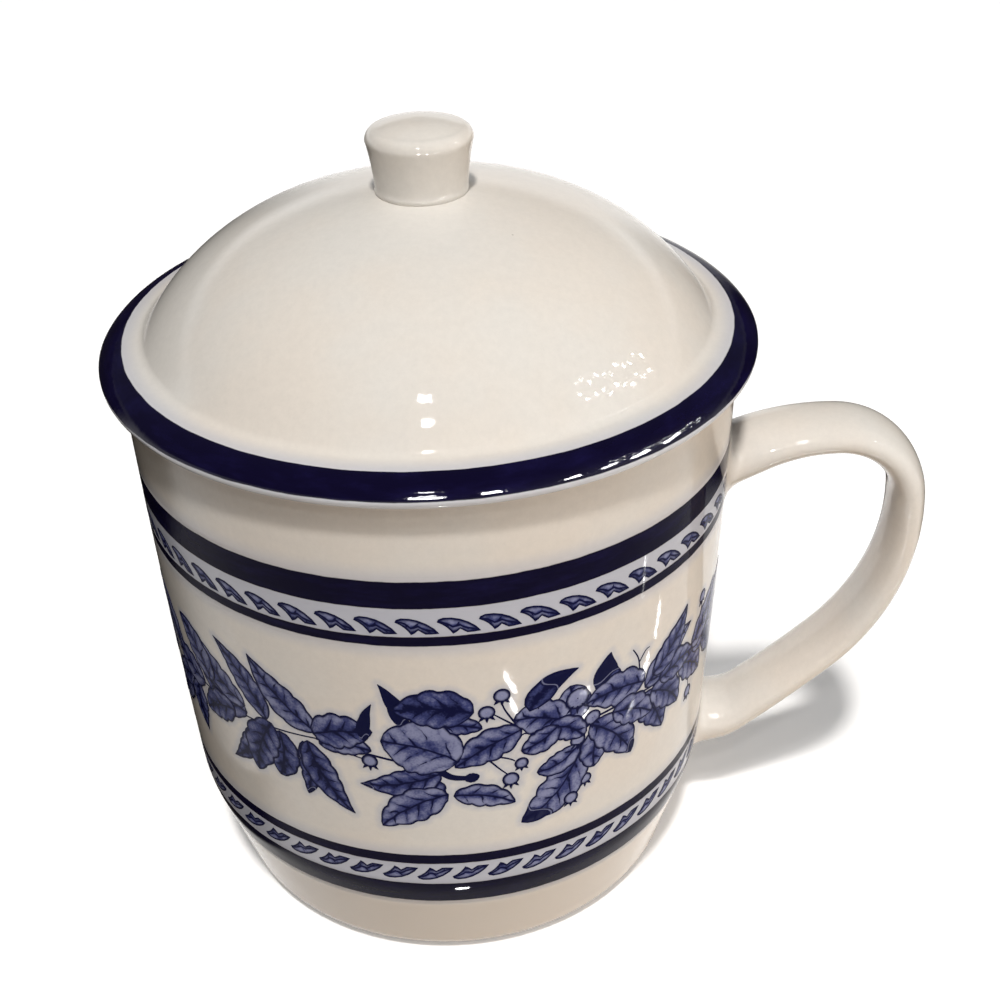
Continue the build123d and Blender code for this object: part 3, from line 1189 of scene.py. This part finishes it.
def ringTree():
    # copies of a piece turned about the mug's axis
    tree = bpy.data.node_groups.new("ringOfCopies", "GeometryNodeTree")
    inputs = {"Geometry": "Geometry", "Copies": "Int", "Step": "Float", "Colour": "Material"}
    names = {}
    for label, kind in inputs.items():
        socket = tree.interface.new_socket(label, in_out="INPUT", socket_type="NodeSocket" + kind)
        names[label] = socket.identifier
    tree.interface.new_socket("Geometry", in_out="OUTPUT", socket_type="NodeSocketGeometry")
    given = node(tree, "NodeGroupInput").outputs
    spots = node(tree, "GeometryNodePoints")
    feed(tree, spots.inputs["Count"], given["Copies"])
    turn = node(tree, "FunctionNodeAxisAngleToRotation")
    turn.inputs["Axis"].default_value = (0, 0, 1)
    angle = times(tree, node(tree, "GeometryNodeInputIndex").outputs[0], given["Step"])
    feed(tree, turn.inputs["Angle"], angle)
    copies = node(tree, "GeometryNodeInstanceOnPoints")
    feed(tree, copies.inputs["Points"], spots.outputs[0])
    feed(tree, copies.inputs["Instance"], given["Geometry"])
    feed(tree, copies.inputs["Rotation"], turn.outputs[0])
    whole = node(tree, "GeometryNodeRealizeInstances")
    feed(tree, whole.inputs[0], copies.outputs[0])
    coloured = node(tree, "GeometryNodeSetMaterial")
    feed(tree, coloured.inputs["Geometry"], whole.outputs[0])
    feed(tree, coloured.inputs["Material"], given["Colour"])
    feed(tree, node(tree, "NodeGroupOutput").inputs[0], coloured.outputs[0])
    return tree, names


ringOfCopies, ringInputs = ringTree()


def repeatRound(piece, copies, material):
    modifier = piece.modifiers.new("ringOfCopies", "NODES")
    modifier.node_group = ringOfCopies
    modifier[ringInputs["Copies"]] = copies
    modifier[ringInputs["Step"]] = 2 * math.pi / copies
    modifier[ringInputs["Colour"]] = material
    graph = bpy.context.evaluated_depsgraph_get()
    mesh = bpy.data.meshes.new_from_object(
        piece.evaluated_get(graph), preserve_all_data_layers=True, depsgraph=graph
    )
    mesh.name = piece.name
    piece.modifiers.remove(modifier)
    piece.data = mesh
    return piece


zoneMargin = 0.35        # millimetres of white beside each blue zone that take its finish
outsideMargin = 1.0      # millimetres inside the wall's radius that still count as outside


def onWallBand(radius, z):
    inBand = any(low - zoneMargin < z < high + zoneMargin for low, high, reach in wallBands.values())
    return inBand and radius > wallRadius(z) - outsideMargin


def onLidRim(radius, z):
    return radius > lidRim["inner"] - zoneMargin and z > lidRim["low"] - zoneMargin


def markZone(piece, inZone):
    # the faces of the blue zone take the piece's second finish
    for face in piece.data.polygons:
        x, y, z = face.center / mm
        face.material_index = int(inZone(math.hypot(x, y), z))


def markLeafGap(shell, colour):
    # how far each point of the wall is from the garland, in millimetres
    points = KDTree(len(colour.data.vertices))
    for vert in colour.data.vertices:
        points.insert(vert.co, vert.index)
    points.balance()
    leafGap = shell.data.attributes.new("leafGap", "FLOAT", "POINT")
    for vert in shell.data.vertices:
        leafGap.data[vert.index].value = points.find(vert.co)[2] / mm


mugShell = revolved("mugShell", outsideLine + mugInside(), mugShape["segments"])
lidShell = revolved("lidShell", lidProfile(), lidShape["segments"])
knobButton = revolved("knobButton", knobProfile(), knobShape["segments"])
handleStrap = makeHandle()
plainWhite = whiteGlaze()
wallCoats = [mugGlaze("wallGlaze", "shine"), mugGlaze("wallCobalt", "inkShine")]
lidCoats = [lidGlaze("lidGlaze", "shine"), lidGlaze("lidCobalt", "rimShine", glazeLook["rimPeel"])]
for piece, part, body, slot, coats in (
    (mugShell, "mug_body", "mug", "porcelain_mug", wallCoats),
    (handleStrap, "handle", "mug", "porcelain_handle", [plainWhite]),
    (lidShell, "lid", "lid", "porcelain_lid", lidCoats),
    (knobButton, "knob", "lid", "porcelain_knob", [plainWhite]),
):
    for coat in coats:
        piece.data.materials.append(coat)
    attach(piece, body)
    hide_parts(part)
markZone(mugShell, onWallBand)
markZone(lidShell, onLidRim)
print("porcelain made")

borderBlue = leafMaterial("borderBlue", borderLeaf["outline"])
garlandBlue = leafMaterial("garlandBlue", leafLook["outline"])
upperLeaf = makeBorderLeaf("upperBorder", borderLeaf["upperFoot"], 1)
upperBorder = repeatRound(upperLeaf, borderLeaf["copies"], borderBlue)
lowerLeaf = makeBorderLeaf("lowerBorder", borderLeaf["lowerFoot"], -1)
lowerBorder = repeatRound(lowerLeaf, borderLeaf["copies"], borderBlue)
leafGarland = repeatRound(makeGarland(), garlandCopies, garlandBlue)
markLeafGap(mugShell, leafGarland)
for piece in (upperBorder, lowerBorder, leafGarland):
    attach(piece, "mug")
print("blue decoration made")

cameraFit = {
    "place": (0.0162, -0.1854, 0.1756),
    "pan": -0.0394,
    "tilt": 0.5691,
    "roll": -0.0305,
    "lens": 54.0,
    "sensor": 36.0,
    "nearest": 0.01,
}


def makeCamera():
    c = cameraFit
    data = bpy.data.cameras.new("photoCamera")
    data.lens = c["lens"]
    data.sensor_width = c["sensor"]
    data.clip_start = c["nearest"]
    camera = bpy.data.objects.new("photoCamera", data)
    turn = Matrix.Rotation(-c["pan"], 4, "Z")
    turn = turn @ Matrix.Rotation(math.pi / 2 - c["tilt"], 4, "X") @ Matrix.Rotation(c["roll"], 4, "Z")
    camera.matrix_world = Matrix.Translation(c["place"]) @ turn
    scene.collection.objects.link(camera)
    scene.camera = camera


stageLook = {
    "floor": (0.97, 0.97, 0.97, 1),
    "floorSize": 6.0,
    "floorGlow": 0.2,        # keeps the floor white where less light falls
    "bounce": (0.92, 0.79, 0.66, 1),         # what the floor throws back at the mug, by the handle
    "dimBounce": (0.16, 0.136, 0.112, 1),    # and on the other side
    "bounceSpan": (-0.10, 0.12),     # metres between which one turns into the other
    "room": (0.92, 0.96, 1.0, 1),
    "roomLevel": 0.09,
    "glow": (1.0, 0.985, 0.96, 1),
    "glowWay": (66, 3),
    "glowFocus": 6.0,
    "glowLevel": 1.6,
    "sun": (1.0, 0.972, 0.94),
    "card": (0.03, 0.028, 0.026, 1),
    "backdrop": (1, 1, 1, 1),
    "horizon": (0.2, 0.36),  # sines of the heights between which the mirrored white fades out
    "aim": (0, 0, 0.06),
}
# azimuth from the front towards the handle, elevation, spread in degrees, strength
keySun = (1, 66, 5.0, 2.3)
# azimuth, elevation, distance, width, height, watts
studioLamps = {
    "spotHigh": (0, 59, 1.2, 0.085, 0.065, 1.3),
    "spotLow": (1, 49, 1.2, 0.075, 0.06, 1.1),
}
# small lamps close to the lid's rim that only its gloss shows: the spot on the rim in millimetres,
# then as above
rimLamps = {
    "rimGlint": ((2.3, -44.2, 85.4), 0, 41, 0.03, 0.009, 0.006, 0.028),
    "rimGlintSide": ((9.5, -43.0, 85.7), 26, 42, 0.03, 0.005, 0.005, 0.012),
    "rimGlintCorner": ((19.1, -40.0, 85.3), 53, 37, 0.03, 0.005, 0.004, 0.009),
    "rimDashFirst": ((22.7, -37.8, 85.7), 69, 34, 0.016, 0.0038, 0.0016, 0.0017),
    "rimDashMiddle": ((26.9, -35.0, 85.5), 79, 31, 0.016, 0.0043, 0.0026, 0.0045),
    "rimDashLast": ((30.6, -31.7, 85.7), 93, 28, 0.016, 0.0043, 0.0016, 0.002),
}
# a string of small lights that shows as a broken glint on the lid
windowLamps = {
    "columns": 11,
    "rows": 2,
    "start": (74, 43),       # azimuth and elevation of the first
    "columnStep": (3.1, -1.4),
    "rowStep": (-3.5, -5.0),
    "scatter": 0.9,          # degrees
    "sway": (2.3, 1.9),      # radians by which the scatter runs on for each column and row
    "distance": 0.9,
    "size": (0.009, 0.007),
    "watts": 0.07,
}
# strips of light on the floor that show as upright streaks on the wall, millimetres:
# middle, direction in degrees, length, width, watts
floorStrips = {
    "bandGlint": ((4.2, -45.6), 0, 3.2, 1.2, 0.004),
    "streakFront": ((39.6, -88.4), 62, 9, 1.5, 0.0024),
    "streakFrontLow": ((37.6, -82.6), 70, 4.5, 1.4, 0.0011),
    "streakMiddle": ((66.6, -58.2), 40, 6, 1.4, 0.0016),
    "streakMiddleLow": ((62.2, -55.2), 30, 4, 1.2, 0.0009),
    "streakSideHigh": ((110, -28.7), 2, 14, 0.9, 0.0012),
    "streakSide": ((96, -14), 24, 13, 0.8, 0.0011),
    "streakSideLow": ((82, -23), 38, 9, 0.9, 0.0009),
    "streakSideEnd": ((71, -31), 36, 6, 1.3, 0.0009),
}
# dark cards with soft edges that only the mug's gloss shows, so that its sides stand out from the
# white: middle, direction and lean back in degrees, width and height, millimetres
darkCards = {
    "leftCard": ((-82, 46), 38, 0, 150, 120),
    "leftNearCard": ((-46, 12), 89, 0, 90, 78),
    "leftFloorCard": ((-37, -6), 100, 89, 70, 24),
    "rightCard": ((96, 52), -38, 0, 130, 120),
}
cardFade = (0.24, 0.12)      # share of the width and of the height at either end


def wayTo(azimuth, elevation):
    a, e = math.radians(azimuth), math.radians(elevation)
    return Vector((math.sin(a) * math.cos(e), -math.cos(a) * math.cos(e), math.sin(e)))


def onlyGloss(thing):
    # seen in reflections, and otherwise not there
    thing.visible_camera = False
    thing.visible_diffuse = False


def newLight(name, kind, strength):
    data = bpy.data.lights.new(name, kind)
    data.energy = strength
    light = bpy.data.objects.new(name, data)
    scene.collection.objects.link(light)
    return light


def makeLamp(name, azimuth, elevation, distance, wide, high, watts, aim=stageLook["aim"]):
    lamp = newLight(name, "AREA", watts)
    lamp.data.shape = "RECTANGLE"
    lamp.data.size, lamp.data.size_y = wide, high
    way = wayTo(azimuth, elevation)
    lamp.location = Vector(aim) + way * distance
    lamp.rotation_euler = way.to_track_quat("Z", "Y").to_euler()
    return lamp


def makeFloor():
    bpy.ops.mesh.primitive_plane_add(size=stageLook["floorSize"])
    floor = bpy.context.object
    floor.name = "paleFloor"
    material, tree, shader = newMaterial("floorPaint", 0.0)
    shader.inputs["Roughness"].default_value = 1.0
    seen = larger(tree, *seenRays(tree))
    sideways = split(tree, node(tree, "ShaderNodeTexCoord").outputs["Object"])[0]
    byHandle = ease(tree, sideways, *stageLook["bounceSpan"])
    bounce = mixed(tree, byHandle, stageLook["dimBounce"], stageLook["bounce"])
    feed(tree, shader.inputs["Base Color"], mixed(tree, seen, bounce, stageLook["floor"]))
    shader.inputs["Emission Color"].default_value = stageLook["floor"]
    feed(tree, shader.inputs["Emission Strength"], times(tree, seen, stageLook["floorGlow"]))
    floor.data.materials.append(material)


def makeRoom():
    # soft light all round, with a broad glow from the handle's side
    world = bpy.data.worlds.new("softRoom")
    scene.world = world
    world.use_nodes = True
    tree = world.node_tree
    facing = node(tree, "ShaderNodeVectorMath", operation="DOT_PRODUCT")
    feed(tree, facing.inputs[0], node(tree, "ShaderNodeTexCoord").outputs["Generated"])
    facing.inputs[1].default_value = wayTo(*stageLook["glowWay"])
    toward = larger(tree, facing.outputs["Value"], 0.0)
    lobe = calc(tree, "POWER", toward, stageLook["glowFocus"])
    glow = node(tree, "ShaderNodeBackground")
    glow.inputs["Color"].default_value = stageLook["glow"]
    feed(tree, glow.inputs["Strength"], times(tree, lobe, stageLook["glowLevel"]))
    room = tree.nodes["Background"]
    room.inputs["Color"].default_value = stageLook["room"]
    room.inputs["Strength"].default_value = stageLook["roomLevel"]
    both = node(tree, "ShaderNodeAddShader")
    feed(tree, both.inputs[0], room.outputs[0])
    feed(tree, both.inputs[1], glow.outputs[0])
    # the floor's white goes on over its edge, up to the horizon's height in reflections
    height = split(tree, node(tree, "ShaderNodeTexCoord").outputs["Generated"])[2]
    low = ease(tree, height, *stageLook["horizon"], 1.0, 0.0)
    direct, mirrored = seenRays(tree)
    seen = larger(tree, direct, times(tree, low, mirrored))
    white = node(tree, "ShaderNodeBackground")
    white.inputs["Color"].default_value = stageLook["backdrop"]
    backdrop = node(tree, "ShaderNodeMixShader")
    feed(tree, backdrop.inputs[0], seen)
    feed(tree, backdrop.inputs[1], both.outputs[0])
    feed(tree, backdrop.inputs[2], white.outputs[0])
    feed(tree, tree.nodes["World Output"].inputs["Surface"], backdrop.outputs[0])


def makeKey():
    azimuth, elevation, spread, strength = keySun
    key = newLight("keySun", "SUN", strength)
    key.data.angle = math.radians(spread)
    key.data.color = stageLook["sun"]
    key.rotation_euler = wayTo(azimuth, elevation).to_track_quat("Z", "Y").to_euler()
    key.visible_glossy = False           # the two spots give its glints


def makeStrip(name, middle, turn, long, wide, watts):
    strip = newLight(name, "AREA", watts)
    strip.data.shape = "ELLIPSE"
    strip.data.size, strip.data.size_y = long * mm, wide * mm
    strip.location = (middle[0] * mm, middle[1] * mm, mm)
    strip.rotation_euler = (math.pi, 0, math.radians(turn))
    onlyGloss(strip)


def cardMaterial(name):
    material, tree, shader = newMaterial(name, 0.0)
    shader.inputs["Base Color"].default_value = stageLook["card"]
    sheet = split(tree, node(tree, "ShaderNodeUVMap", uv_map="sheet").outputs[0])
    fade = 1.0
    for place, soft in zip(sheet, cardFade):
        inward = smaller(tree, place, minus(tree, 1.0, place))
        fade = times(tree, fade, ease(tree, inward, 0.0, soft))
    feed(tree, shader.inputs["Alpha"], fade)
    return material


def makeCard(name, middle, turn, lean, wide, high):
    facing, back = math.radians(turn), math.radians(lean)
    along = Vector((math.cos(facing), math.sin(facing), 0))
    away = Vector((-along.y, along.x, 0))
    half = along * wide / 2
    rise = (away * math.sin(back) + Vector((0, 0, math.cos(back)))) * high
    foot = Vector((*middle, 1))
    corners = [foot - half, foot + half, foot + half + rise, foot - half + rise]
    bm = bmesh.new()
    face = bm.faces.new([bm.verts.new(corner * mm) for corner in corners])
    sheet = bm.loops.layers.uv.new("sheet")
    for loop, spot in zip(face.loops, ((0, 0), (1, 0), (1, 1), (0, 1))):
        loop[sheet].uv = spot
    card = newPiece(name, bm)
    card.data.materials.append(cardMaterial(name))
    onlyGloss(card)
    card.visible_shadow = False


def makeStage():
    makeFloor()
    for name, card in darkCards.items():
        makeCard(name, *card)
    makeRoom()
    makeKey()
    for name, lamp in studioLamps.items():
        makeLamp(name, *lamp)
    for name, (spot, *lamp) in rimLamps.items():
        onlyGloss(makeLamp(name, *lamp, aim=Vector(spot) * mm))
    for name, strip in floorStrips.items():
        makeStrip(name, *strip)
    w = windowLamps
    for row in range(w["rows"]):
        for column in range(w["columns"]):
            sway = w["scatter"] * math.sin(w["sway"][0] * column + w["sway"][1] * row)
            way = [
                start + across * column + down * row + sway
                for start, across, down in zip(w["start"], w["columnStep"], w["rowStep"])
            ]
            lamp = makeLamp(f"windowLamp{row}{column}", *way, w["distance"], *w["size"], w["watts"])
            onlyGloss(lamp)


makeCamera()
makeStage()
print("stage made")
scene.view_settings.view_transform = "Standard"
